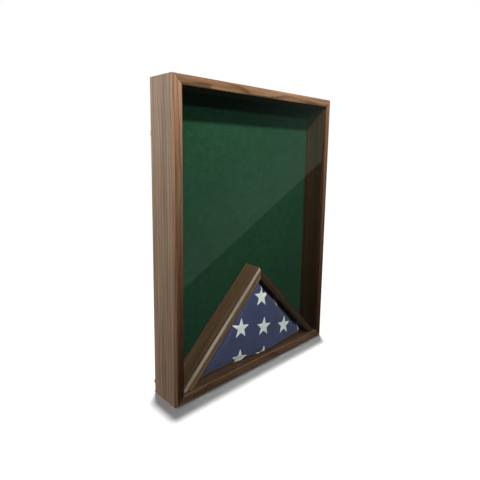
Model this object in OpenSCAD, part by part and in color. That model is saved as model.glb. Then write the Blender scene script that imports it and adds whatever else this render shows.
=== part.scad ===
// Walnut display case for a folded flag.
// A mitred box with a fixed front pane, a lift-out felt-covered back and two
// sloping dividers that make a triangular compartment for the flag.
// +X is the case's right seen from the front, -Y is the front, +Z is up.
// The origin is under the middle of the whole object, on the surface it stands on.

/* [Case] */
// Overall width of the case
case_w = 480; // [400:5:620]
// Overall height of the case
case_h = 635; // [500:5:780]
// Depth of the case boards from front to rear
case_d = 76; // [64:1:100]
// Thickness of the case boards
board_t = 19; // [16:0.5:23]
// Chamfer along the outer front edges
front_chamfer = 4.5; // [1:0.5:6]

/* [Front pane] */
// Thickness of the wood in front of the pane
lip_d = 4; // [3:0.5:6]
// Thickness of the pane
glass_t = 2.2; // [2:0.1:4]
// How deep the pane's groove goes into each board
groove_w = 6; // [4:0.5:8]
// Room around the pane's edges and faces in the groove
glass_clearance = 0.2; // [0.1:0.05:0.5]

/* [Back panel] */
// Width of the rabbet that the back panel sits in
rabbet_w = 5.5; // [4:0.5:7]
// Gap all round the back panel in its rabbet
panel_clearance = 0.8; // [0.4:0.1:1.5]
// Gap between the felt and the rabbet's shoulder
shoulder_gap = 0.2; // [0.1:0.1:0.5]
// How far the back panel lies inside the boards' rear edges
panel_recess = 0.5; // [0.3:0.1:2]
// Thickness of the felt
felt_t = 1.2; // [0.8:0.1:2]
// Thickness of the pin board behind the felt
pin_board_t = 8; // [5:0.5:10]
// Thickness of the plywood back board
back_board_t = 5; // [3:0.5:6]

/* [Dividers] */
// Thickness of the divider boards
divider_t = 19; // [12:0.5:22]
// Depth of the divider boards from front to rear
divider_d = 50; // [40:1:52]
// Gap between the pane and the dividers
divider_setback = 0.5; // [0.3:0.1:3]
// Distance from a side wall to the toe of its divider
toe_gap = 2.5; // [0.5:0.5:10]
// Chamfer along the dividers' outer front edges
divider_chamfer = 4.5; // [1:0.5:6]

/* [Splines] */
// Width of a spline, across the mitre joint
spline_w = 10; // [6:0.5:12]
// Thickness of a spline
spline_t = 3; // [2:0.5:4]
// Length of a spline, along the joint
spline_l = 34; // [20:1:36]
// Distance from a mitre's outer corner to its spline, along each board
spline_inset = 10.5; // [9.5:0.5:11]
// Room around a spline in its slot
spline_clearance = 0.1; // [0.05:0.05:0.2]

/* [Flag] */
// Gap between the flag and the left divider
flag_slack_left = 1.2; // [0.5:0.1:4]
// Gap between the flag and the right divider
flag_slack_right = 4; // [0.5:0.5:8]
// Distance from the pane to the flag's bulging front
flag_setback = 9; // [3:1:15]
// How far the flag's front swells forward in the middle
flag_swell = 11; // [4:1:16]
// Gap between the flag and what it lies on or against
flag_gap = 0.3; // [0.1:0.1:1]
// Radius of the flag's folded corners
flag_corner_r = 3; // [2:0.5:6]

/* [Turn buttons] */
// Length of a turn button
button_l = 32; // [26:1:36]
// Width of a turn button
button_w = 9; // [7:0.5:9]
// Thickness of a turn button
button_t = 1.2; // [1:0.1:1.6]
// Gap between a turn button and the wood
button_gap = 0.15; // [0.1:0.05:0.3]
// Distance from the top or bottom edge to the side boards' turn buttons
button_inset = 170; // [150:5:200]

/* [Screws] */
// Shank radius of the turn button and hanger screws
screw_r = 1.7; // [1.4:0.1:1.8]
// Head radius of those screws
screw_head_r = 3.1; // [2.8:0.1:3.4]
// Head height of those screws
screw_head_h = 1.6; // [1.2:0.1:1.8]
// Length of those screws under the head
screw_l = 14; // [10:1:16]
// Radial room of a screw in a hole that turns or slips over it
screw_clearance = 0.08; // [0.05:0.01:0.1]
// Radial room of a screw in its pilot hole in wood
pilot_clearance = 0.05; // [0.02:0.01:0.1]

/* [Divider screws] */
// Shank radius of the divider screws
long_screw_r = 1.75; // [1.5:0.05:2]
// Head radius of the countersunk divider screws
long_screw_head_r = 3.6; // [3.2:0.1:4]
// How far a divider screw enters its divider
long_screw_grip = 11; // [8:1:13]
// How far the countersunk heads lie inside the bottom face
long_screw_recess = 0.6; // [0.3:0.1:1]
// Distance from a side wall to its divider's screws
long_screw_inset = 19; // [18:0.5:21]
// Distance between a divider's two screws
long_screw_spacing = 26; // [20:1:30]

/* [Hangers] */
// Distance from the top edge to the hanger rings' hinge line
hanger_drop = 100; // [60:5:115]
// Width of a hanger strap
strap_w = 8; // [6:0.5:8]
// Length of a hanger strap below its loop
strap_l = 29; // [28:1:34]
// Thickness of a hanger strap, its two layers together
strap_t = 1.2; // [1:0.1:1.6]
// Radius of the ring's wire
ring_wire_r = 1; // [0.8:0.1:1.1]
// Outer width of a hanger ring
ring_w = 13; // [12:0.5:13]
// Straight length of a hanger ring's legs
ring_leg = 3.5; // [3:0.5:4.5]
// Radial room of the ring in its loop
ring_clearance = 0.1; // [0.05:0.01:0.1]
// Wall of the strap's loop
loop_wall = 0.6; // [0.5:0.1:0.8]
// Distance between a strap's two screws
strap_screw_spacing = 9; // [8:0.5:9]

/* [Wall bumpers] */
// Diameter of a wall bumper
bumper_dia = 12; // [8:0.5:13]
// Thickness of a wall bumper
bumper_t = 5; // [5:0.5:8]
// Distance from the bottom edge to the middle of a wall bumper
bumper_inset = 22; // [12:1:40]

/* [Hidden] */
$fn = 48;

walnut = [0.36, 0.25, 0.17];
dark_walnut = [0.30, 0.21, 0.14];
steel = [0.72, 0.72, 0.74];
brass = [0.72, 0.60, 0.33];

// Depth positions, from the front face to the rear
overall_d = case_d + bumper_t;
front_y = -overall_d / 2;
rear_y = front_y + case_d;
groove_y = front_y + lip_d;
glass_y = groove_y + glass_clearance;
glass_back_y = glass_y + glass_t;
groove_back_y = glass_back_y + glass_clearance;
divider_y = glass_back_y + divider_setback;
panel_back_y = rear_y - panel_recess;
pin_back_y = panel_back_y - back_board_t;
pin_front_y = pin_back_y - pin_board_t;
felt_y = pin_front_y - felt_t;
shoulder_y = felt_y - shoulder_gap;
divider_back_y = min(divider_y + divider_d, felt_y - 1);
divider_mid_y = (divider_y + divider_back_y) / 2;
groove_to_shoulder_mid_y = (groove_back_y + shoulder_y) / 2;

// Widths and heights
inner_half = case_w / 2 - board_t;
floor_z = board_t;
ceiling_z = case_h - board_t;
inner_h = ceiling_z - floor_z;
pane_reach = groove_w - glass_clearance;
panel_reach = rabbet_w - panel_clearance;
panel_w = 2 * (inner_half + panel_reach);
panel_h = inner_h + 2 * panel_reach;
panel_z = floor_z - panel_reach;
edge_w = board_t - rabbet_w;
edge_mid = edge_w / 2;

// The flag's compartment, a right-angled triangle that stands on its long side
divider_foot = divider_t * sqrt(2);
slope_half = inner_half - toe_gap;
apex_z = floor_z + slope_half;
compartment_half = slope_half - divider_foot;
apex_spline_z = apex_z - divider_foot / 2 - spline_t / 4;

// The flag's outline inside the compartment
flag_front_y = glass_back_y + flag_setback;
flag_shoulder_y = flag_front_y + flag_swell;
flag_back_y = felt_y - flag_gap - 3;
flag_left_x = -compartment_half + flag_slack_left * sqrt(2);
flag_right_x = compartment_half - flag_slack_right * sqrt(2);
flag_half = (flag_right_x - flag_left_x) / 2;
flag_mid_x = (flag_left_x + flag_right_x) / 2;
flag_floor_z = floor_z + flag_gap;

// Hardware on the rear edges
side_edge_x = case_w / 2 - edge_mid;
button_y = rear_y + button_gap;
button_hole_r = screw_r + screw_clearance;
button_head_y = button_y + button_t + button_gap;
hanger_z = case_h - hanger_drop;
loop_r = ring_wire_r + ring_clearance;
ring_axis_y = rear_y + strap_t + 0.2 + ring_wire_r;
ring_bend_r = ring_w / 2 - ring_wire_r;
strap_screw_low_z = -strap_l + screw_head_r + 1;
strap_screw_high_z = strap_screw_low_z + strap_screw_spacing;
strap_hole_r = screw_r + screw_clearance;

// ---------- shapes that repeat ----------

// A bar along X whose cross-section is drawn as [y, z] points
module bar(length, section) {
  rotate([90, 0, 90])
    linear_extrude(length, center = true)
      polygon(section);
}

// A slab from y_low to y_high whose front view is drawn as [x, z] points
module slab(y_low, y_high, outline) {
  translate([0, y_high, 0])
    rotate([90, 0, 0])
      linear_extrude(y_high - y_low)
        polygon(outline);
}

// A board's cross-section, with its outer face at z = 0: chamfer, pane groove and rear rabbet
board_section = [
  [front_y, front_chamfer],
  [front_y + front_chamfer, 0],
  [rear_y, 0],
  [rear_y, edge_w],
  [shoulder_y, edge_w],
  [shoulder_y, board_t],
  [groove_back_y, board_t],
  [groove_back_y, board_t - groove_w],
  [groove_y, board_t - groove_w],
  [groove_y, board_t],
  [front_y, board_t]
];

// A case board lying along X with its outer face down and both ends mitred
module mitred_board(length) {
  intersection() {
    bar(length, board_section);
    slab(front_y - 1, rear_y + 1, [
      [-length / 2, 0],
      [length / 2, 0],
      [length / 2 - board_t, board_t],
      [-length / 2 + board_t, board_t]
    ]);
  }
}

// The splines across the four mitres, each grown by room on every side
module spline_set(room) {
  for (side = [-1, 1])
    for (corner = [[spline_inset, -45], [case_h - spline_inset, 45]])
      translate([side * (case_w / 2 - spline_inset), groove_to_shoulder_mid_y, corner[0]])
        rotate([0, side * corner[1], 0])
          cube([spline_w + 2 * room, spline_l + 2 * room, spline_t + 2 * room], center = true);
}

// A board in its place, with the slots for the splines cut
module case_board() {
  difference() {
    children();
    spline_set(spline_clearance);
  }
}

// A side board standing on the left, before its slots and holes
module side_board_blank() {
  translate([-case_w / 2, 0, case_h / 2])
    rotate([0, 90, 0])
      mitred_board(case_h);
}

// A hole or shank along Y that goes into the rear edge from y to a depth below it
module along_y(x, y, z, r, depth) {
  translate([x, y, z])
    rotate([90, 0, 0])
      cylinder(r = r, h = depth);
}

// A pan-head screw that goes in towards -Y, with the underside of its head at y
module pan_screw(x, y, z) {
  slot_w = screw_head_r * 0.28;
  difference() {
    union() {
      along_y(x, y, z, screw_r, screw_l);
      along_y(x, y + screw_head_h, z, screw_head_r, screw_head_h);
    }
    for (turn = [0, 90])
      translate([x, y + screw_head_h, z])
        rotate([0, turn, 0])
          cube([screw_head_r * 1.2, screw_head_h, slot_w], center = true);
  }
}

// The pilot hole of a rear screw whose head's underside is at y
module pilot(x, y, z) {
  along_y(x, y + 1, z, screw_r + pilot_clearance, screw_l + 1.5);
}

// Where the turn buttons' pivots are: [x, z, turn of the blade about Y from +Z]
button_spots = [
  [0, case_h - edge_mid, 90],
  [0, edge_mid, 90],
  [-side_edge_x, case_h - button_inset, 0],
  [-side_edge_x, button_inset, 0],
  [side_edge_x, case_h - button_inset, 0],
  [side_edge_x, button_inset, 0]
];

module button_pilots() {
  for (spot = button_spots)
    pilot(spot[0], button_head_y, spot[1]);
}

// A flat blade with round ends and a pivot hole near one of them
module turn_button(spot) {
  reach = button_l - button_w;
  color(brass)
    translate([spot[0], button_y + button_t, spot[1]])
      rotate([0, spot[2], 0])
        rotate([90, 0, 0])
          linear_extrude(button_t)
            difference() {
              union() {
                circle(d = button_w);
                translate([0, reach])
                  circle(d = button_w);
                translate([-button_w / 2, 0])
                  square([button_w, reach]);
              }
              circle(r = button_hole_r);
            }
}

// The places of the divider screws, all under the bottom board
module at_divider_screws() {
  for (side = [-1, 1])
    for (shift = [-0.5, 0.5])
      translate([side * (inner_half - long_screw_inset),
                 divider_mid_y + shift * long_screw_spacing, 0])
        children();
}

// A countersunk screw that goes up, grown by room on every side
module long_screw(room) {
  neck = long_screw_head_r - long_screw_r;
  translate([0, 0, long_screw_recess])
    cylinder(r1 = long_screw_head_r + room, r2 = long_screw_r + room, h = neck);
  translate([0, 0, long_screw_recess])
    cylinder(r = long_screw_r + room,
             h = board_t - long_screw_recess + long_screw_grip + room);
}

// The countersunk hole that clears a divider screw, open at the bottom face
module long_screw_hole() {
  long_screw(pilot_clearance);
  translate([0, 0, -1])
    cylinder(r = long_screw_head_r + pilot_clearance, h = 1 + long_screw_recess);
}

// A hanger's strap and its loop, with the hinge line at x, hanger_z
module hanger_strap(x) {
  color(steel)
    translate([x, 0, hanger_z])
      difference() {
        union() {
          translate([-strap_w / 2, rear_y, -strap_l + strap_w / 2])
            cube([strap_w, strap_t, strap_l - strap_w / 2]);
          along_y(0, rear_y + strap_t, -strap_l + strap_w / 2, strap_w / 2, strap_t);
          translate([-strap_w / 2, ring_axis_y, 0])
            rotate([0, 90, 0])
              cylinder(r = loop_r + loop_wall, h = strap_w);
        }
        translate([-strap_w / 2 - 1, ring_axis_y, 0])
          rotate([0, 90, 0])
            cylinder(r = loop_r, h = strap_w + 2);
        for (z = [strap_screw_low_z, strap_screw_high_z])
          along_y(0, rear_y + strap_t + 1, z, strap_hole_r, strap_t + 2);
      }
}

// A D-shaped wire ring that hangs down from the hinge line
module hanger_ring(x) {
  color(steel)
    translate([x, ring_axis_y, hanger_z]) {
      rotate([0, 90, 0])
        cylinder(r = ring_wire_r, h = 2 * ring_bend_r, center = true);
      for (side = [-1, 1]) {
        translate([side * ring_bend_r, 0, 0])
          sphere(r = ring_wire_r);
        translate([side * ring_bend_r, 0, -ring_leg])
          cylinder(r = ring_wire_r, h = ring_leg);
      }
      translate([0, 0, -ring_leg])
        rotate([-90, 0, 0])
          rotate_extrude(angle = 180)
            translate([ring_bend_r, 0])
              circle(r = ring_wire_r);
    }
}

module hanger_pilots() {
  for (side = [-1, 1])
    for (z = [strap_screw_low_z, strap_screw_high_z])
      pilot(side * side_edge_x, rear_y + strap_t, hanger_z + z);
}

// A divider's cross-section, with its outer face at z = 0 and its thickness below
divider_section = [
  [divider_y, -divider_chamfer],
  [divider_y + divider_chamfer, 0],
  [divider_back_y, 0],
  [divider_back_y, -divider_t],
  [divider_y, -divider_t]
];

module divider_spline_shape(room) {
  translate([0, divider_mid_y, apex_spline_z])
    cube([spline_w + 2 * room, spline_l + 2 * room, spline_t + 2 * room], center = true);
}

// The left divider: a sloping bar, cut level at the floor and upright at the apex
module left_divider_shape() {
  difference() {
    intersection() {
      translate([-slope_half, 0, floor_z])
        rotate([0, -45, 0])
          translate([slope_half / sqrt(2), 0, 0])
            bar(2 * case_w, divider_section);
      slab(front_y, rear_y, [
        [-inner_half, floor_z],
        [0, floor_z],
        [0, case_h],
        [-inner_half, case_h]
      ]);
    }
    divider_spline_shape(spline_clearance);
    at_divider_screws()
      long_screw(pilot_clearance);
  }
}

// The flag's three corners as rods along Y, drawn in by inset from the outline
module flag_layer(y_low, y_high, inset) {
  corner_in = (flag_corner_r + inset) * (1 + sqrt(2));
  top_in = (flag_corner_r + inset) * sqrt(2);
  for (corner = [
    [flag_left_x + corner_in, flag_floor_z + flag_corner_r + inset],
    [flag_right_x - corner_in, flag_floor_z + flag_corner_r + inset],
    [flag_mid_x, flag_floor_z + flag_half - top_in]
  ])
    translate([corner[0], y_high, corner[1]])
      rotate([90, 0, 0])
        cylinder(r = flag_corner_r, h = y_high - y_low, $fn = 32);
}

// ---------- the pieces ----------

module bottom_board() {
  color(walnut)
    difference() {
      case_board()
        mitred_board(case_w);
      button_pilots();
      at_divider_screws()
        long_screw_hole();
    }
}

module top_board() {
  color(walnut)
    difference() {
      case_board()
        translate([0, 0, case_h])
          mirror([0, 0, 1])
            mitred_board(case_w);
      button_pilots();
    }
}

module left_board() {
  color(walnut)
    difference() {
      case_board()
        side_board_blank();
      button_pilots();
      hanger_pilots();
    }
}

module right_board() {
  color(walnut)
    difference() {
      case_board()
        mirror([1, 0, 0])
          side_board_blank();
      button_pilots();
      hanger_pilots();
    }
}

module corner_splines() {
  color(dark_walnut) spline_set(0);
}

module left_divider() {
  color(walnut) left_divider_shape();
}

module right_divider() {
  color(walnut)
    mirror([1, 0, 0])
      left_divider_shape();
}

module divider_spline() {
  color(dark_walnut) divider_spline_shape(0);
}

module divider_screws() {
  color(steel)
    at_divider_screws()
      long_screw(0);
}

module front_glass() {
  color([0.8, 0.9, 0.9, 0.3])
    translate([-inner_half - pane_reach, glass_y, floor_z - pane_reach])
      cube([2 * (inner_half + pane_reach), glass_t, inner_h + 2 * pane_reach]);
}

// The felt is drawn round the pin board's edges, so it is a shallow tray
module felt_covering() {
  color([0.08, 0.26, 0.17])
    difference() {
      translate([-panel_w / 2, felt_y, panel_z])
        cube([panel_w, felt_t + pin_board_t, panel_h]);
      translate([-panel_w / 2 + felt_t, pin_front_y, panel_z + felt_t])
        cube([panel_w - 2 * felt_t, pin_board_t + 1, panel_h - 2 * felt_t]);
    }
}

module pin_board() {
  color([0.85, 0.82, 0.75])
    translate([-panel_w / 2 + felt_t, pin_front_y, panel_z + felt_t])
      cube([panel_w - 2 * felt_t, pin_board_t, panel_h - 2 * felt_t]);
}

module back_board() {
  color([0.66, 0.50, 0.33])
    translate([-panel_w / 2, pin_back_y, panel_z])
      cube([panel_w, back_board_t, panel_h]);
}

module folded_flag() {
  color([0.13, 0.15, 0.30])
    hull() {
      flag_layer(flag_front_y, flag_shoulder_y, flag_swell * 1.4);
      flag_layer(flag_shoulder_y, flag_back_y, 0);
    }
}

module turn_button_top() {
  turn_button(button_spots[0]);
}

module turn_button_bottom() {
  turn_button(button_spots[1]);
}

module turn_button_left_upper() {
  turn_button(button_spots[2]);
}

module turn_button_left_lower() {
  turn_button(button_spots[3]);
}

module turn_button_right_upper() {
  turn_button(button_spots[4]);
}

module turn_button_right_lower() {
  turn_button(button_spots[5]);
}

module turn_button_screws() {
  color(brass)
    for (spot = button_spots)
      pan_screw(spot[0], button_head_y, spot[1]);
}

module left_hanger_strap() {
  hanger_strap(-side_edge_x);
}

module right_hanger_strap() {
  hanger_strap(side_edge_x);
}

module left_hanger_ring() {
  hanger_ring(-side_edge_x);
}

module right_hanger_ring() {
  hanger_ring(side_edge_x);
}

module hanger_screws() {
  color(steel)
    for (side = [-1, 1])
      for (z = [strap_screw_low_z, strap_screw_high_z])
        pan_screw(side * side_edge_x, rear_y + strap_t, hanger_z + z);
}

module wall_bumpers() {
  color([0.12, 0.12, 0.12])
    for (side = [-1, 1])
      along_y(side * side_edge_x, rear_y + bumper_t, bumper_inset, bumper_dia / 2, bumper_t);
}

top_board();
bottom_board();
left_board();
right_board();
corner_splines();
left_divider();
right_divider();
divider_spline();
divider_screws();
front_glass();
felt_covering();
pin_board();
back_board();
folded_flag();
turn_button_top();
turn_button_bottom();
turn_button_left_upper();
turn_button_left_lower();
turn_button_right_upper();
turn_button_right_lower();
turn_button_screws();
left_hanger_strap();
right_hanger_strap();
left_hanger_ring();
right_hanger_ring();
hanger_screws();
wall_bumpers();
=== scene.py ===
"""A walnut display case with a folded flag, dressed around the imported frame."""
import math

import bmesh
import bpy
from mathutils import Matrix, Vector, noise
from mathutils.bvhtree import BVHTree


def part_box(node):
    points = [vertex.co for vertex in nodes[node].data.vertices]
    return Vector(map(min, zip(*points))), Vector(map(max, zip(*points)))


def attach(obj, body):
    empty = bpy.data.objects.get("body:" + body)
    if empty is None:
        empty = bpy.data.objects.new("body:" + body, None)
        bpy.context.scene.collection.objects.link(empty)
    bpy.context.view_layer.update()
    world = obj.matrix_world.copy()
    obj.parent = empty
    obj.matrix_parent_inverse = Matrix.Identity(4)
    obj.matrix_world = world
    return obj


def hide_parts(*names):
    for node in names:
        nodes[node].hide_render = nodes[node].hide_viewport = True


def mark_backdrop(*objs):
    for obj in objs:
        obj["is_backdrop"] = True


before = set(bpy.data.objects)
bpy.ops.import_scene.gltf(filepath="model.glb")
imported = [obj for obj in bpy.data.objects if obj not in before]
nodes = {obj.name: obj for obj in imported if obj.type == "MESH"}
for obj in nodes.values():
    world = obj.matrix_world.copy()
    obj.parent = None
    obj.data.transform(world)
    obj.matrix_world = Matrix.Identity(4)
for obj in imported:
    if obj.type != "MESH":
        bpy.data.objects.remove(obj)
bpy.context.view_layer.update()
MM = 0.001

# ---------- places and sizes, from the frame ----------

pane_low, pane_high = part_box("front_glass")
flag_low, flag_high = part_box("folded_flag")
case_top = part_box("top_board")[1].z
board_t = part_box("bottom_board")[1].z

# Half the width between the dividers' inner faces where they meet the floor board.
divider_t = 19 * MM
compartment_half = -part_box("left_divider")[0].x - divider_t * math.sqrt(2)


# ---------- materials ----------

class Value:
    """A number that varies over a surface, with ordinary arithmetic."""

    def __init__(self, finish, socket):
        self.finish = finish
        self.socket = socket

    def _sum(self, operation, first, second):
        return self.finish.node(
            "ShaderNodeMath", {"operation": operation}, {0: first, 1: second}).value()

    def __add__(self, other):
        return self._sum("ADD", self, other)

    __radd__ = __add__

    def __sub__(self, other):
        return self._sum("SUBTRACT", self, other)

    def __rsub__(self, other):
        return self._sum("SUBTRACT", other, self)

    def __mul__(self, other):
        return self._sum("MULTIPLY", self, other)

    __rmul__ = __mul__

    def sine(self):
        return self._sum("SINE", self, 0.0)

    def fraction(self):
        return self._sum("FRACT", self, 0.0)

    def between(self, low, high):
        """0 at low, 1 at high, and held there outside."""
        return self.finish.node(
            "ShaderNodeMapRange", {"interpolation_type": "SMOOTHSTEP"},
            {"Value": self, "From Min": low, "From Max": high},
        ).value()


class Step:
    """One node of a finish."""

    def __init__(self, finish, made):
        self.finish = finish
        self.made = made

    def value(self, output=0):
        return Value(self.finish, self.made.outputs[output])


class Finish:
    """A material under construction: every node comes from its one method."""

    def __init__(self, name):
        self.material = bpy.data.materials.new(name)
        self.material.use_nodes = True
        self.tree = self.material.node_tree
        self.tree.nodes.clear()

    def node(self, kind, settings=None, sockets=None):
        made = self.tree.nodes.new(kind)
        for name, setting in (settings or {}).items():
            if name == "stops":
                self._stops(made.color_ramp, setting)
            else:
                setattr(made, name, setting)
        for name, given in (sockets or {}).items():
            if isinstance(given, Value):
                self.tree.links.new(given.socket, made.inputs[name])
            else:
                made.inputs[name].default_value = given
        return Step(self, made)

    @staticmethod
    def _stops(ramp, stops):
        while len(ramp.elements) < len(stops):
            ramp.elements.new(1.0)
        for element, (place, color) in zip(ramp.elements, stops):
            element.position = place
            element.color = (*color, 1.0)

    def coordinates(self):
        return self.node("ShaderNodeTexCoord").value("Object")

    def facing(self):
        """Which way the surface faces, in X, Y and Z."""
        return self.node("ShaderNodeSeparateXYZ", None, {
            0: self.node("ShaderNodeTexCoord").value("Normal")})

    def placed(self, vector, turn=0.0, scale=(1, 1, 1), shift=(0, 0, 0)):
        """The coordinates turned about Y by some degrees, then stretched and shifted."""
        if turn:
            vector = self.node("ShaderNodeMapping", None, {
                "Vector": vector, "Rotation": (0.0, math.radians(turn), 0.0)}).value()
        return self.node("ShaderNodeMapping", None, {
            "Vector": vector, "Scale": scale, "Location": shift}).value()

    def noise(self, vector, scale=1.0, detail=2.0, rough=0.5):
        return self.node("ShaderNodeTexNoise", None, {
            "Vector": vector, "Scale": scale, "Detail": detail, "Roughness": rough}).value("Fac")

    def ramp(self, value, stops):
        return self.node("ShaderNodeValToRGB", {"stops": stops}, {"Fac": value}).value("Color")

    def blend(self, amount, first, second, how="MIX"):
        """Two colours mixed; a colour is a Value or three numbers."""
        def color(given):
            return given if isinstance(given, Value) else (*given, 1.0)
        made = self.node("ShaderNodeMix", {"data_type": "RGBA", "blend_type": how})
        for place, given in ((0, amount), (6, color(first)), (7, color(second))):
            if isinstance(given, Value):
                self.tree.links.new(given.socket, made.made.inputs[place])
            else:
                made.made.inputs[place].default_value = given
        return made.value(2)

    def bump(self, height, strength, depth):
        return self.node("ShaderNodeBump", None, {
            "Height": height, "Strength": strength, "Distance": depth}).value("Normal")

    def surface(self, **sockets):
        """The main shader, with its sockets' names in plain words."""
        names = {
            "color": "Base Color", "rough": "Roughness", "metal": "Metallic", "normal": "Normal",
            "coat": "Coat Weight", "coat_rough": "Coat Roughness", "sheen": "Sheen Weight",
            "sheen_rough": "Sheen Roughness", "specular": "Specular IOR Level", "alpha": "Alpha",
            "sheen_tint": "Sheen Tint",
        }
        return self.node("ShaderNodeBsdfPrincipled", None, {
            names[name]: (*given, 1.0) if isinstance(given, tuple) and len(given) == 3 else given
            for name, given in sockets.items()})

    def close(self, step):
        out = self.tree.nodes.new("ShaderNodeOutputMaterial")
        self.tree.links.new(step.made.outputs[0], out.inputs["Surface"])
        return self.material


def walnut(name, grain, heart, tone=1.0, warmth=0.0, foot_painted_shade=0.0, front_foot_painted_shade=0.0, side_painted_sheen=0.0, side_painted_shade=0.0,
           flank_painted_shade=0.0, knot=None, gloss=0.08):
    """Oiled walnut. grain is the board's slope in degrees, and heart is where the tree's middle
    lies beside the board, in metres across the grain. fade is painted shade that darkens the whole
    board towards its foot, and lip is painted shade on its front edge alone. bleach is a painted
    sheen that greys and lightens the faces turned to -X, dim is painted shade that darkens those
    faces, and flank is painted shade on all but the front. knot is the place of a small knot on the
    front, and gloss is how much oil shows."""
    f = Finish(name)
    place = f.coordinates()
    along = f.placed(place, turn=grain, shift=(heart[0] * 7.0, heart[0], heart[1]))
    drift = f.noise(f.placed(along, scale=(2.2, 9, 9)), detail=3.0, rough=0.55)
    ripple = f.noise(f.placed(along, scale=(11, 60, 60)), detail=2.0)
    across = f.node("ShaderNodeVectorMath", {"operation": "LENGTH"},
                    {0: f.placed(along, scale=(0.0, 1.0, 1.0))}).value("Value")
    rings = ((across + drift * 0.035 + ripple * 0.004) * 150.0).fraction()
    late = rings.between(0.50, 0.95) * (1.0 - rings.between(0.95, 1.0))
    broad = f.noise(f.placed(along, scale=(1.3, 34, 34)), detail=4.0, rough=0.6)
    streak = f.noise(f.placed(along, scale=(3.5, 150, 150)), detail=3.0, rough=0.6)
    fibre = f.noise(f.placed(along, scale=(14, 520, 520)), detail=4.0, rough=0.65)
    pore = f.noise(f.placed(along, scale=(95, 1500, 1500)), detail=1.0)
    pores = pore.between(0.60, 0.70) * (0.35 + 0.65 * rings)
    shade = broad * 0.70 + streak * 0.60 + fibre * 0.40 - late * 0.22 - 0.36
    color = f.ramp(shade, (
        (0.10, (0.064 * tone, 0.0305 * tone, 0.0135 * tone)),
        (0.36, (0.136 * tone, 0.074 * tone, 0.039 * tone)),
        (0.56, (0.213 * tone, 0.125 * tone, 0.071 * tone)),
        (0.85, (0.328 * tone, 0.208 * tone, 0.128 * tone)),
    ))
    color = f.blend(pores * 0.55, color, (0.030 * tone, 0.014 * tone, 0.007 * tone))
    if warmth:
        heartwood = f.noise(f.placed(along, scale=(0.8, 22, 22), shift=(3, 5, 1)), detail=2.0)
        color = f.blend(heartwood.between(0.45, 0.70) * warmth, color,
                        (0.150 * tone, 0.060 * tone, 0.026 * tone))
    if knot:
        from_knot = f.node("ShaderNodeVectorMath", {"operation": "LENGTH"}, {
            0: f.placed(place, scale=(0.55, 0.0, 1.0), shift=(-0.55 * knot[0], 0, -knot[1])),
        }).value("Value")
        off_knot = (from_knot + ripple * 0.002).between(0.0015, 0.0045)
        color = f.blend((1.0 - off_knot) * 0.8, color, (0.028, 0.012, 0.005))
    if foot_painted_shade or front_foot_painted_shade or side_painted_sheen or side_painted_shade or flank_painted_shade:
        height = f.node("ShaderNodeSeparateXYZ", None, {0: place}).value("Z")
        down = 1.0 - (height * (1.0 / case_top)).between(0.0, 1.05)
        facing = f.facing()
        front = (0.0 - facing.value("Y")).between(0.75, 0.95)
        outside = (0.0 - facing.value("X")).between(0.75, 0.95)
        # Painted sheen: faces turned to -X are greyed and lightened.
        color = f.blend(outside * side_painted_sheen, color, f.ramp(shade, (
            (0.10, (0.138, 0.096, 0.064)), (0.85, (0.425, 0.325, 0.234)))))
        # Painted shade: the board darkens towards its foot, and its front edge more so.
        color = f.blend(down * (foot_painted_shade + front * front_foot_painted_shade), color,
                        f.blend(1.0, color, (0.18, 0.115, 0.070), "MULTIPLY"))
        # Painted shade: faces turned to -X, and all faces but the front, are darkened.
        color = f.blend(outside * side_painted_shade + (1.0 - front) * flank_painted_shade, color,
                        f.blend(1.0, color, (0.18, 0.15, 0.11), "MULTIPLY"))
    grooves = fibre * 0.25 - pores - late * 0.15
    return f.close(f.surface(
        color=color,
        rough=0.46 + pores * 0.25 - broad * 0.10,
        normal=f.bump(grooves, 0.35, 0.0002),
        specular=0.25,
        coat=gloss,
        coat_rough=0.32,
    ))


def end_wood(name, light, dark, grain=90.0, layers=0.0):
    """Pale sawn wood: splines, fibreboard and plywood. layers is the number of plies in a metre."""
    f = Finish(name)
    place = f.coordinates()
    along = f.placed(place, turn=grain)
    broad = f.noise(f.placed(along, scale=(2, 26, 26)), detail=4.0, rough=0.6)
    fibre = f.noise(f.placed(along, scale=(18, 520, 520)), detail=3.0, rough=0.6)
    shade = (broad * 0.6 + fibre * 0.5).between(0.30, 0.80)
    color = f.blend(shade, dark, light)
    if layers:
        depth = f.node("ShaderNodeSeparateXYZ", None, {0: place}).value("Y")
        ply = (depth * layers).fraction().between(0.45, 0.55)
        side = f.node("ShaderNodeSeparateXYZ", None, {
            0: f.node("ShaderNodeNewGeometry").value("Normal")}).value("Y")
        edge = 1.0 - (side * side).between(0.3, 0.7)
        color = f.blend(ply * edge * 0.55, color, tuple(c * 0.45 for c in dark))
    return f.close(f.surface(
        color=color, rough=0.62 + fibre * 0.2, specular=0.3,
        normal=f.bump(fibre, 0.3, 0.0002)))


def felt_finish(name):
    """Pressed wool felt: matted fibres in two sizes over faint cloudy patches."""
    f = Finish(name)
    place = f.coordinates()
    swirl = f.noise(place, scale=60.0, detail=2.0)
    cloud = f.noise(place, scale=9.0, detail=3.0)
    mat = f.noise(f.placed(place, shift=(1, 2, 3)), scale=420.0, detail=5.0, rough=0.7)
    hair = f.noise(f.placed(place, scale=(2600, 900, 500)), detail=3.0, rough=0.6)
    hair_too = f.noise(f.placed(place, turn=55, scale=(2600, 900, 500)), detail=3.0, rough=0.6)
    fuzz = mat * 0.5 + hair * 0.25 + hair_too * 0.25
    color = f.ramp(fuzz + (swirl - 0.5) * 0.14 + (cloud - 0.5) * 0.08, (
        (0.36, (0.0035, 0.0205, 0.0098)),
        (0.51, (0.0078, 0.0370, 0.0180)),
        (0.66, (0.0180, 0.0660, 0.0340)),
    ))
    return f.close(f.surface(
        color=color, rough=0.95, specular=0.08, sheen=0.08, sheen_rough=0.6,
        sheen_tint=(0.35, 0.75, 0.50), normal=f.bump(fuzz, 0.15, 0.0003)))


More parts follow.
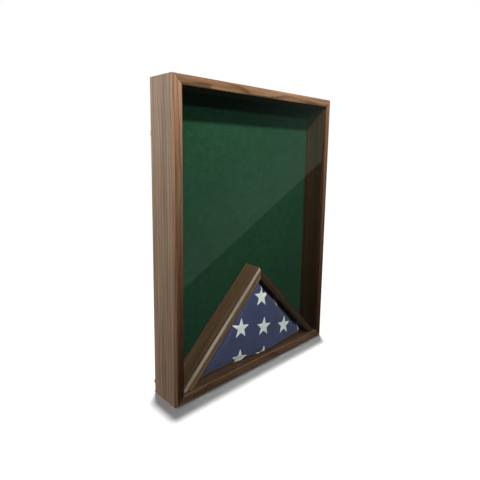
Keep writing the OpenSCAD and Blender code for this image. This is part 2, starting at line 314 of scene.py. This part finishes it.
def woven(name, color, light, pitch=0.00055, slub=0.35):
    """Plain weave: two crossed sets of threads, each a little uneven, with painted shade on the faces
    turned right and up and a painted shadow along the foot."""
    f = Finish(name)
    place = f.coordinates()
    x = f.node("ShaderNodeSeparateXYZ", None, {0: place})
    turn = 2.0 * math.pi / pitch
    warp = (x.value("X") * turn).sine()
    weft = (x.value("Z") * turn).sine()
    cross = warp * weft
    thread = f.noise(f.placed(place, scale=(900, 200, 60)), detail=2.0)
    thread_too = f.noise(f.placed(place, scale=(60, 200, 900)), detail=2.0)
    wear = f.noise(place, scale=22.0, detail=3.0)
    shade = 0.5 + cross * 0.12 + (thread + thread_too - 1.0) * slub + (wear - 0.5) * 0.35
    facing = f.facing()
    # Painted shade on faces turned right and up, and a painted shadow in a band just above the floor
    # board.
    painted_shade_flank_mask = (facing.value("X") + facing.value("Z")).between(0.75, 1.15)
    painted_shadow_foot_mask = 1.0 - (x.value("Z") - board_t).between(0.0048, 0.0072)
    cloth = f.blend(shade.between(0.0, 1.0), color, light)
    # The painted shade and shadow darken the cloth towards a dark navy.
    painted_shade_amount = painted_shade_flank_mask * 0.85 + painted_shadow_foot_mask * (1.0 - painted_shade_flank_mask) * 0.85
    cloth = f.blend(painted_shade_amount, cloth, tuple(c * 0.15 for c in color))
    return f.close(f.surface(
        color=cloth, rough=0.88, specular=0.2, sheen=0.18, sheen_rough=0.45,
        normal=f.bump(cross * 0.5 + thread + thread_too, 0.45, 0.0003)))


def embroidered(name, color, shadow):
    """Satin stitch: tight parallel threads with small gaps between them."""
    f = Finish(name)
    place = f.coordinates()
    slant = f.node("ShaderNodeSeparateXYZ", None, {0: f.placed(place, turn=38)}).value("X")
    wander = f.noise(place, scale=160.0, detail=2.0)
    stitch = ((slant + wander * 0.0012) * (2.0 * math.pi / 0.0011)).sine()
    tuft = f.noise(place, scale=700.0, detail=3.0)
    shade = 0.55 + stitch * 0.30 + (tuft - 0.5) * 0.6
    return f.close(f.surface(
        color=f.blend(shade.between(0.0, 0.8), shadow, color), rough=0.72, specular=0.25,
        sheen=0.2, normal=f.bump(stitch * 0.4 + tuft, 0.5, 0.0003)))


def metal_finish(name, color, dark, rough, brush=(40, 900, 900)):
    """Plated metal with fine tool lines and dull handled patches."""
    f = Finish(name)
    place = f.coordinates()
    lines = f.noise(f.placed(place, turn=90, scale=brush), detail=3.0, rough=0.6)
    dull = f.noise(place, scale=130.0, detail=4.0)
    wear = dull.between(0.45, 0.75)
    return f.close(f.surface(
        color=f.blend(wear * 0.35, color, dark), metal=1.0,
        rough=rough + wear * 0.12 + lines * 0.10, normal=f.bump(lines, 0.15, 0.0001)))


def rubber_finish(name):
    f = Finish(name)
    place = f.coordinates()
    grit = f.noise(place, scale=1600.0, detail=3.0)
    dust = f.noise(place, scale=210.0, detail=4.0).between(0.5, 0.8)
    return f.close(f.surface(
        color=f.blend(dust * 0.5, (0.018, 0.018, 0.019), (0.055, 0.052, 0.048)),
        rough=0.68 + grit * 0.15, specular=0.35, normal=f.bump(grit, 0.3, 0.0001)))


def pane_finish(name):
    """Clear flat glass: light passes straight through, and what it mirrors is laid over it."""
    f = Finish(name)
    place = f.coordinates()
    smear = f.noise(place, scale=9.0, detail=3.0)
    mirror = f.surface(color=(0.9, 0.97, 0.94), metal=1.0, rough=0.015 + (smear - 0.5) * 0.01)
    clear = f.node("ShaderNodeBsdfTransparent", None, {"Color": (0.955, 0.975, 0.965, 1.0)})
    inside = f.node("ShaderNodeNewGeometry").value("Backfacing")
    amount = f.node("ShaderNodeFresnel", None, {"IOR": 1.5}).value() * 1.8 * (1.0 - inside)
    return f.close(f.node("ShaderNodeMixShader", None, {
        0: amount, 1: clear.value(), 2: mirror.value()}))


# The tone values stand partly for boards that differ in colour and partly for painted light and
# shade: the top, bottom and right boards are darker than the left one, the right divider much darker
# and the left divider brighter, as light fell on them.
finish = {
    "case_top": walnut("walnut_top", 0, (0.21, -0.585), tone=0.76, knot=(0.035, 0.6215)),
    "case_bottom": walnut("walnut_bottom", 0, (0.37, 0.045), tone=0.64),
    "case_left": walnut("walnut_left", 90, (0.55, 0.272), warmth=0.30, foot_painted_shade=0.50, front_foot_painted_shade=0.52,
                        side_painted_sheen=0.6, gloss=0.14),
    "case_right": walnut("walnut_right", 90, (0.83, -0.300), tone=0.74, warmth=0.4, foot_painted_shade=0.2, front_foot_painted_shade=0.5,
                         side_painted_shade=0.78),
    "divider_left": walnut("walnut_left_divider", 45, (0.62, 0.09), tone=1.12, flank_painted_shade=0.45,
                           gloss=0.5),
    "divider_right": walnut("walnut_right_divider", -45, (0.44, 0.12), tone=0.31, warmth=0.8),
    "spline": end_wood("spline_maple", (0.52, 0.36, 0.21), (0.36, 0.22, 0.11)),
    "fibreboard": end_wood("fibreboard", (0.42, 0.33, 0.22), (0.30, 0.22, 0.14), grain=0),
    "plywood": end_wood("birch_plywood", (0.60, 0.43, 0.26), (0.42, 0.27, 0.14), layers=800.0),
    "felt": felt_finish("green_felt"),
    "navy": woven("navy_flag_cloth", (0.037, 0.045, 0.115), (0.075, 0.088, 0.204)),
    "thread": embroidered("white_star_thread", (0.98, 0.97, 0.97), (0.86, 0.87, 0.89)),
    "brass": metal_finish("pressed_brass", (0.72, 0.53, 0.24), (0.40, 0.27, 0.11), 0.28),
    "screw": metal_finish("screw_brass", (0.66, 0.50, 0.25), (0.36, 0.25, 0.11), 0.32),
    "zinc": metal_finish("zinc_steel", (0.60, 0.61, 0.63), (0.36, 0.36, 0.37), 0.30),
    "rubber": rubber_finish("bumper_rubber"),
    "pane": pane_finish("clear_pane"),
}


# ---------- working on a piece ----------

def alone(piece):
    """Selects one piece and nothing else."""
    bpy.ops.object.select_all(action="DESELECT")
    piece.select_set(True)
    bpy.context.view_layer.objects.active = piece
    return piece


def settle(piece):
    """Puts a finished piece's place into its mesh."""
    alone(piece)
    bpy.ops.object.transform_apply(location=True, rotation=True, scale=True)
    return piece


def apply(piece, kind, name="step", **settings):
    alone(piece)
    modifier = piece.modifiers.new(name, kind)
    for key, setting in settings.items():
        setattr(modifier, key, setting)
    bpy.ops.object.modifier_apply(modifier=name)
    return piece


def dress(piece, name, material, body, slot, *stands_for):
    piece.name = name
    piece.data.name = name
    piece.data.materials.clear()
    piece.data.materials.append(finish[material])
    settle(piece)
    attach(piece, body)
    if stands_for:
        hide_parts(*stands_for)
    return piece


def copy_of(node):
    """A merged copy of a CAD node, with its flat faces whole again."""
    piece = bpy.data.objects.new("copy_of_" + node, nodes[node].data.copy())
    bpy.context.scene.collection.objects.link(piece)
    alone(piece)
    bpy.ops.object.mode_set(mode="EDIT")
    bpy.ops.mesh.select_all(action="SELECT")
    bpy.ops.mesh.remove_doubles(threshold=0.00001)
    bpy.ops.mesh.dissolve_limited(angle_limit=math.radians(0.5))
    bpy.ops.object.mode_set(mode="OBJECT")
    return piece


def eased(node, ease, name, material, body, slot, rounds=2, sharp=30.0):
    """A CAD node's copy with its edges eased."""
    piece = copy_of(node)
    apply(piece, "BEVEL", width=ease, segments=rounds, limit_method="ANGLE",
          angle_limit=math.radians(sharp), harden_normals=False, use_clamp_overlap=True)
    bpy.ops.object.shade_smooth_by_angle(angle=math.radians(32))
    apply(piece, "WEIGHTED_NORMAL", keep_sharp=True)
    return dress(piece, name, material, body, slot, node)


# ---------- camera, lights and floor ----------

def look():
    camera = bpy.data.objects.new("camera", bpy.data.cameras.new("camera"))
    bpy.context.scene.collection.objects.link(camera)
    camera.location = (-0.6376, -0.6339, 0.4972)
    camera.rotation_euler = [math.radians(a) for a in (81.79, -0.87, -43.56)]
    camera.data.sensor_width = 36.0
    camera.data.lens = 29.45
    camera.data.shift_x = -0.0035
    camera.data.shift_y = -0.0627
    camera.data.clip_start = 0.01
    bpy.context.scene.camera = camera
    return camera


def lamp(name, place, aim, power, size, color=(1, 1, 1), spread=180):
    data = bpy.data.lights.new(name, "AREA")
    data.energy = power
    data.shape = "DISK"
    data.size = size
    data.color = color
    data.spread = math.radians(spread)
    light = bpy.data.objects.new(name, data)
    bpy.context.scene.collection.objects.link(light)
    light.location = place
    light.rotation_euler = (Vector(aim) - Vector(place)).to_track_quat("-Z", "Y").to_euler()
    return light


def light_only(light, floor, state):
    """Lets a light reach the floor alone, or everything but the floor."""
    group = bpy.data.collections.new(light.name + "_reach")
    group.objects.link(floor)
    group.collection_objects[0].light_linking.link_state = state
    light.light_linking.receiver_collection = group


def studio(camera):
    middle = Vector((0, 0, case_top / 2))
    lamps = (
        lamp("key", (-0.25, -0.70, 1.24), Vector((0, 0, 0.72)), 5.4, 0.08, (1.0, 0.97, 0.93), 85),
        lamp("fill", (-1.15, -2.00, 1.48), middle, 28.5, 0.16, (1.0, 0.98, 0.96)),
        lamp("side", (-2.0, 0.85, 1.30), middle, 56.0, 1.0),
        lamp("rear", (1.2, 2.2, 1.6), middle, 40.0, 1.2),
    )

    world = bpy.data.worlds.new("studio")
    bpy.context.scene.world = world
    world.use_nodes = True
    tree = world.node_tree
    tree.nodes.clear()
    seen = tree.nodes.new("ShaderNodeLightPath")
    backdrop = tree.nodes.new("ShaderNodeBackground")
    backdrop.inputs["Color"].default_value = (1.0, 1.0, 1.0, 1.0)
    ambient = tree.nodes.new("ShaderNodeBackground")
    ambient.inputs["Color"].default_value = (0.95, 0.97, 1.0, 1.0)
    ambient.inputs["Strength"].default_value = 0.10
    pick = tree.nodes.new("ShaderNodeMixShader")
    out = tree.nodes.new("ShaderNodeOutputWorld")
    tree.links.new(seen.outputs["Is Camera Ray"], pick.inputs[0])
    tree.links.new(ambient.outputs[0], pick.inputs[1])
    tree.links.new(backdrop.outputs[0], pick.inputs[2])
    tree.links.new(pick.outputs[0], out.inputs["Surface"])

    bpy.ops.mesh.primitive_plane_add(size=24.0, location=(0, 0, 0))
    floor = bpy.context.active_object
    floor.name = "floor"
    f = Finish("pale_floor")
    mottle = f.noise(f.coordinates(), scale=3.0, detail=2.0)
    floor.data.materials.append(f.close(f.surface(
        color=f.blend(mottle, (0.93, 0.93, 0.93), (0.96, 0.96, 0.96)), rough=0.9, specular=0.1)))
    floor.visible_diffuse = False
    floor.visible_glossy = False
    for light in lamps:
        light_only(light, floor, "EXCLUDE")
    for light in floor_suns():
        light_only(light, floor, "INCLUDE")
    mirror_card(camera)
    bpy.context.scene.view_settings.view_transform = "Standard"


def floor_suns():
    """Daylight for the floor alone: half from above and a little behind, with a soft shadow, and
    half from all round, with none."""
    suns = []
    kinds = (("floor_sun", 2.90, 2.0, True), ("floor_glow", 0.40, 90, False))
    for name, energy, width, shadow in kinds:
        data = bpy.data.lights.new(name, "SUN")
        data.energy = energy
        data.angle = math.radians(width)
        data.use_shadow = shadow
        sun = bpy.data.objects.new(name, data)
        bpy.context.scene.collection.objects.link(sun)
        sun.rotation_euler = (math.radians(-2.8), math.radians(2.3), 0)
        suns.append(sun)
    return suns


def mirror_card(camera):
    """A lit card in front of the case that only mirrors show, and a dark one behind it. The lit
    card's lower edge is mirrored in the pane as a slanting line, which rises from low_end on the
    pane's left to high_end on its right."""
    low_end = Vector((-0.2165, pane_low.y, 0.239))
    high_end = Vector((0.219, pane_low.y, 0.481))
    card_y = -2.6
    card_height, card_spare = 3.0, 1.5
    eye = camera.location.copy()
    eye.y = 2 * pane_low.y - eye.y

    def thrown(point):
        return eye + (point - eye) * ((card_y - eye.y) / (point.y - eye.y))

    start, end = thrown(low_end), thrown(high_end)
    run = (end - start).normalized()
    rise = Vector((-run.z, 0, run.x))
    corners = [start - run * card_spare, end + run * card_spare]
    corners += [corner + rise * card_height for corner in reversed(corners)]
    f = Finish("card_glow")
    height = f.node("ShaderNodeVectorMath", {"operation": "DOT_PRODUCT"}, {
        0: f.coordinates(), 1: tuple(rise)}).value("Value")
    above = height - start.dot(rise)
    f.close(f.node("ShaderNodeEmission", None, {
        "Color": f.blend(above.between(0.0, 1.5), (0.72, 1.0, 0.82), (0.10, 0.14, 0.11)),
        "Strength": 0.20}))
    only_mirrored("mirror_card", corners, f.material)

    f = Finish("card_dark")
    f.close(f.node("ShaderNodeEmission", None, {"Color": (0.01, 0.01, 0.01, 1.0)}))
    wide = [Vector((x, card_y - 0.1, z)) for x, z in ((-7, -7), (7, -7), (7, 7), (-7, 7))]
    only_mirrored("dark_card", wide, f.material)


def only_mirrored(name, corners, material):
    """A flat card that nothing but a glossy surface sees."""
    data = bpy.data.meshes.new(name)
    data.from_pydata([tuple(c) for c in corners], [], [(0, 1, 2, 3)])
    data.materials.append(material)
    card = bpy.data.objects.new(name, data)
    bpy.context.scene.collection.objects.link(card)
    for ray in ("camera", "diffuse", "transmission", "shadow", "volume_scatter"):
        setattr(card, "visible_" + ray, False)
    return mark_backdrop(card)


# ---------- the wooden pieces ----------

def make_boards():
    ease = 0.5 * MM
    for side in ("top", "bottom", "left", "right"):
        eased(f"{side}_board", ease, f"{side}_case_board", f"case_{side}", "case", "walnut_case")
    for side in ("left", "right"):
        eased(f"{side}_divider", ease, f"{side}_divider_board", f"divider_{side}", "case",
              "walnut_divider")
    eased("corner_splines", 0.2 * MM, "mitre_splines", "spline", "case", "spline_wood")
    eased("divider_spline", 0.2 * MM, "apex_spline", "spline", "case", "spline_wood")


def make_back_panel():
    eased("felt_covering", 0.5 * MM, "felt_cover", "felt", "back_panel", "green_felt", rounds=3)
    eased("pin_board", 0.2 * MM, "pin_board_core", "fibreboard", "back_panel", "fibreboard")
    eased("back_board", 0.6 * MM, "plywood_back", "plywood", "back_panel", "plywood")


def make_pane():
    eased("front_glass", 0.25 * MM, "glass_pane", "pane", "case", "pane")


# ---------- the folded flag ----------

def flag_room(p):
    """How far a point lies from the left divider, the right divider and the floor board."""
    low = p.z - board_t
    left = (compartment_half + p.x - low) / math.sqrt(2)
    right = (compartment_half - p.x - low) / math.sqrt(2)
    return left, right, low


def rounded(room, radius):
    """0 at a side, 1 from one radius inside it, as a quarter circle between."""
    t = min(max(room / radius, 0.0), 1.0)
    return math.sqrt(1.0 - (1.0 - t) ** 2)


def flag_front(p):
    """The depth of the packet's face: a soft ridge beside the left fold, a belly in the middle,
    and a lower edge and a tip that swell forward where the folds are thickest."""
    left, right, low = flag_room(p)
    near_tip = min(max((low - 0.055) / 0.070, 0.0), 1.0)
    face = rounded(left - 0.001, 0.017) * rounded(right - 0.001, 0.0075 - 0.0035 * near_tip)
    ridge = math.exp(-((left - 0.019) / 0.007) ** 2) * 0.0016
    dip = math.exp(-((left - 0.036) / 0.012) ** 2) * 0.0006
    belly = 0.0010 * (1.0 - min(abs(p.x) / 0.15, 1.0) ** 2)
    depth = 0.0125 + 0.0058 * near_tip + (0.0104 + ridge - dip + belly) * face
    swollen = 0.0165 + 0.0140 * math.exp(-((p.x - 0.045) / 0.095) ** 2)
    near_floor = math.exp(-(low / 0.020) ** 2)
    return -(depth + (swollen - depth) * near_floor)


def keep_inside(piece):
    """Holds every point of the packet off the boards, the pane and the felt."""
    for vertex in piece.data.vertices:
        p = vertex.co
        left, right, low = flag_room(p)
        for short, way in ((0.0009 - left, 1.0), (0.0010 - right, -1.0)):
            if short > 0:
                p.x += way * short / math.sqrt(2)
                p.z -= short / math.sqrt(2)
        under = 0.0024 if p.y < -0.006 else 0.0004
        p.z = max(p.z, board_t + under)
        p.y = min(max(p.y, pane_high.y + 0.0042), flag_high.y)


def swell(piece, pressure, cap):
    """Inflates a closed piece as cloth for 20 frames and moves no point further than cap."""
    before = [vertex.co.copy() for vertex in piece.data.vertices]
    alone(piece)
    cloth = piece.modifiers.new("swell", "CLOTH")
    cloth.settings.use_pressure = True
    cloth.settings.uniform_pressure_force = pressure
    cloth.settings.effector_weights.gravity = 0.0
    cloth.settings.mass = 0.3
    cloth.settings.tension_stiffness = 8.0
    cloth.settings.bending_stiffness = 0.4
    cloth.point_cache.frame_start = 1
    cloth.point_cache.frame_end = 20
    for step in range(1, 21):
        bpy.context.scene.frame_set(step)
    bpy.ops.object.modifier_apply(modifier="swell")
    bpy.context.scene.frame_set(1)
    for vertex, start in zip(piece.data.vertices, before):
        moved = vertex.co - start
        if moved.length > cap:
            vertex.co = start + moved * (cap / moved.length)


def make_flag():
    """The cloth packet: shaped face, swollen by a cloth simulation, with soft creases on its
    face and its folded layers along the two sloping sides."""
    piece = copy_of("folded_flag")
    apply(piece, "REMESH", mode="VOXEL", voxel_size=0.0042)
    wide = flag_high.x - flag_low.x
    for vertex in piece.data.vertices:
        vertex.co.x += 0.0022 * (vertex.co.x - flag_low.x) / wide
        left, right, low = flag_room(vertex.co)
        push = 0.0032 * max(0.0, 1.0 - right / 0.024) * min(1.0, 0.25 + low / 0.10)
        vertex.co += Vector((push, 0, push))
        if vertex.normal.y < -0.25:
            vertex.co.y = flag_front(vertex.co)
    apply(piece, "REMESH", mode="VOXEL", voxel_size=0.0042)
    apply(piece, "SMOOTH", factor=0.5, iterations=2)
    swell(piece, 4.0, 0.0035)
    keep_inside(piece)
    apply(piece, "SMOOTH", factor=0.5, iterations=2)
    apply(piece, "SUBSURF", levels=1)
    moves = []
    for vertex in piece.data.vertices:
        p, n = vertex.co, vertex.normal
        slope = max(abs(n.x) + n.z - 0.9, 0.0) * 2.0
        layer = 0.5 + 0.5 * math.cos(2.0 * math.pi * (p.y + 0.0006 * math.sin(p.z * 70.0)) / 0.0075)
        crumple = noise.noise(Vector((p.x * 16, p.y * 16, p.z * 30))) * 0.0010
        crumple += noise.noise(Vector(((p.x - p.z) * 60, p.y * 40, (p.x + p.z) * 14))) * 0.0008
        moves.append(n * (crumple - min(slope, 1.0) * 0.0013 * layer ** 6))
    for vertex, move in zip(piece.data.vertices, moves):
        vertex.co += move
        low = flag_room(vertex.co)[2]
        if vertex.co.y < -0.011 and low < 0.010:
            vertex.co.z -= 0.9 * low * (1.0 - low / 0.010)
    keep_inside(piece)
    alone(piece)
    bpy.ops.object.shade_smooth()
    return piece


def star_points(centre, radius):
    """A five-pointed star's outline, point up, its arms slanting down to the right as the cloth is
    pulled."""
    outline = []
    for k in range(10):
        reach = radius * (0.41 if k % 2 else 1.0)
        across, up = reach * math.sin(math.pi * k / 5), reach * math.cos(math.pi * k / 5)
        outline.append(centre + Vector((0.98 * across, 0, up - 0.20 * across)))
    return outline


def make_star(surface, name, x, z, radius):
    """A padded embroidered star that follows the cloth it is sewn to."""
    bpy.ops.object.select_all(action="DESELECT")
    bpy.ops.mesh.primitive_circle_add(vertices=10, radius=radius, fill_type="NGON",
                                      rotation=(math.radians(90), 0, 0), location=(x, 0, z))
    star = settle(bpy.context.active_object)
    outline = star_points(Vector((x, 0, z)), radius)
    for vertex in star.data.vertices:
        turn = math.atan2(vertex.co.x - x, vertex.co.z - z)
        vertex.co = outline[round(turn / (math.pi / 5)) % 10]
    bpy.ops.object.mode_set(mode="EDIT")
    bpy.ops.mesh.select_all(action="SELECT")
    bpy.ops.mesh.poke()
    bpy.ops.mesh.subdivide(number_cuts=9)
    bpy.ops.mesh.select_all(action="SELECT")
    slope_left = (Vector((-compartment_half, 0, board_t)), Vector((-1, 0, 1)))
    slope_right = (Vector((compartment_half, 0, board_t)), Vector((1, 0, 1)))
    floor_cut = (Vector((0, 0, board_t)), Vector((0, 0, -1)))
    for (point, out), inset in ((slope_left, 0.0040), (slope_right, 0.0020), (floor_cut, 0.0045)):
        out = out.normalized()
        bpy.ops.mesh.select_all(action="SELECT")
        bpy.ops.mesh.bisect(plane_co=point - out * inset, plane_no=out, clear_outer=True)
    bpy.ops.object.mode_set(mode="OBJECT")
    if not star.data.vertices:
        bpy.data.objects.remove(star)
        return None
    mesh = bmesh.new()
    mesh.from_mesh(star.data)
    rim = {v for e in mesh.edges if e.is_boundary for v in e.verts}
    for vertex in mesh.verts:
        hit = surface.ray_cast(Vector((vertex.co.x, -1.0, vertex.co.z)), Vector((0, 1, 0)))[0]
        lift = 0.0002 if vertex in rim else 0.0008
        vertex.co.y = (hit.y if hit else flag_high.y) - lift
    mesh.to_mesh(star.data)
    mesh.free()
    apply(star, "SOLIDIFY", thickness=0.0010, offset=0.0)
    alone(star)
    bpy.ops.object.mode_set(mode="EDIT")
    bpy.ops.mesh.select_all(action="SELECT")
    bpy.ops.mesh.normals_make_consistent(inside=False)
    bpy.ops.object.mode_set(mode="OBJECT")
    bpy.ops.object.shade_smooth_by_angle(angle=math.radians(60))
    return dress(star, name, "thread", "case", "flag_cloth")


def make_flag_and_stars():
    flag = make_flag()
    dress(flag, "flag_packet", "navy", "case", "flag_cloth", "folded_flag")
    surface = BVHTree.FromObject(flag, bpy.context.evaluated_depsgraph_get())
    first = (0.019, 0.087)
    across, up = (0.0757, -0.0189), (-0.001, 0.0765)
    spots = ((0, 1), (1, 1), (-1, 0), (0, 0), (1, 0), (2, 0), (-1, -1), (0, -1))
    drawn = {(0, 1): (-0.0100, 0.0010), (1, 1): (-0.0150, -0.0010), (0, -1): (0.0, 0.0035)}
    for number, (i, j) in enumerate(spots, 1):
        nudge = drawn.get((i, j), (0.0, 0.0))
        x = first[0] + i * across[0] + j * up[0] + nudge[0]
        z = first[1] + i * across[1] + j * up[1] + nudge[1]
        make_star(surface, f"star_{number}", x, z, 0.0246 - 0.0003 * i)


# ---------- the hardware ----------

def make_hardware():
    for spot in ("top", "bottom", "left_upper", "left_lower", "right_upper", "right_lower"):
        eased(f"turn_button_{spot}", 0.25 * MM, f"button_{spot}", "brass", f"{spot}_button",
              "turn_button_brass")
    eased("turn_button_screws", 0.2 * MM, "button_screws", "screw", "case", "screw_brass")
    eased("hanger_screws", 0.2 * MM, "strap_screws", "zinc", "case", "zinc_steel")
    eased("divider_screws", 0.15 * MM, "foot_screws", "zinc", "case", "zinc_steel")
    eased("wall_bumpers", 0.8 * MM, "rubber_bumpers", "rubber", "case", "bumper_rubber", rounds=4)
    for side in ("left", "right"):
        eased(f"{side}_hanger_strap", 0.2 * MM, f"{side}_strap", "zinc", "case", "zinc_steel")
        nodes[f"{side}_hanger_ring"].data.materials.clear()
        nodes[f"{side}_hanger_ring"].data.materials.append(finish["zinc"])


camera = look()
studio(camera)
make_boards()
make_back_panel()
make_pane()
make_flag_and_stars()
make_hardware()
